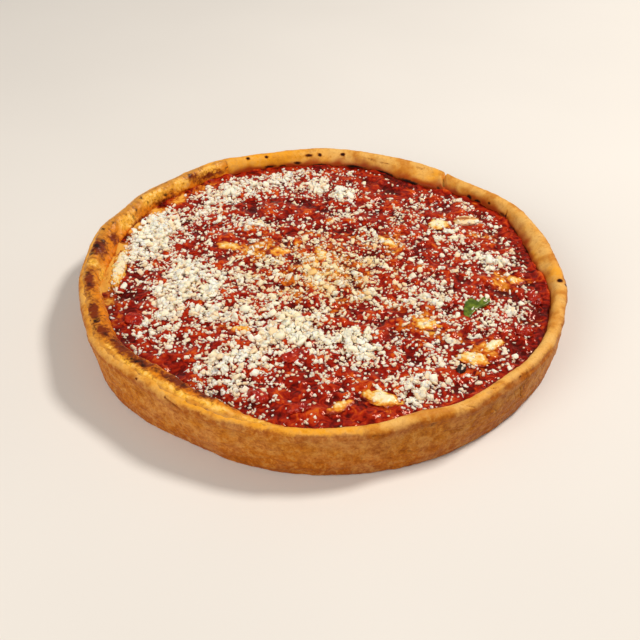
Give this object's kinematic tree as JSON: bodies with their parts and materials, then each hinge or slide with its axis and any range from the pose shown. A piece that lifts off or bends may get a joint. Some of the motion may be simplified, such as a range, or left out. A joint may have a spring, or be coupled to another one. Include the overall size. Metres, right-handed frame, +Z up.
{
  "type": "deep-dish pan pizza",
  "caption": "Whole uncut deep-dish pizza: tall golden crust shell, chunky tomato sauce, grated and melted cheese, rests on its flat underside.",
  "frame": {"origin": "middle of the flat underside of the crust", "axes": "+Z up; -Y is the side that faces the viewer in the picture; +X to that viewer's right"},
  "size_m": [0.3006, 0.3037, 0.0342],
  "materials": {
    "baked_crust": "baked golden dough, satin",
    "tomato_sauce": "wet glossy chunky tomato sauce under off-white grated cheese",
    "baked_cheese": "oily orange-gold cheese with burnt spots",
    "melted_cheese": "soft melted cheese, satin to glossy",
    "tomato_flesh": "wet cooked tomato",
    "browned_slice": "browned, dry",
    "black_olive": "oily",
    "green_pepper": "cooked skin, glossy"
  },
  "bodies": {
    "root": {"crust": "baked_crust", "tomato_filling": "tomato_sauce", "baked_cheese_band": "baked_cheese", "melted_cheese_by_rim": "melted_cheese", "browned_slice": "browned_slice", "olive_bit": "black_olive", "green_pepper": "green_pepper", "melted_cheese_1": "melted_cheese", "melted_cheese_2": "melted_cheese", "melted_cheese_3": "melted_cheese", "melted_cheese_4": "melted_cheese", "melted_cheese_5": "melted_cheese", "melted_cheese_6": "melted_cheese", "melted_cheese_7": "melted_cheese", "melted_cheese_8": "melted_cheese", "melted_cheese_9": "melted_cheese", "melted_cheese_10": "melted_cheese", "melted_cheese_11": "melted_cheese", "melted_cheese_12": "melted_cheese", "tomato_chunk_1": "tomato_flesh", "tomato_chunk_2": "tomato_flesh", "tomato_chunk_3": "tomato_flesh", "tomato_chunk_4": "tomato_flesh", "tomato_chunk_5": "tomato_flesh", "tomato_chunk_6": "tomato_flesh"}
  },
  "joints": []
}
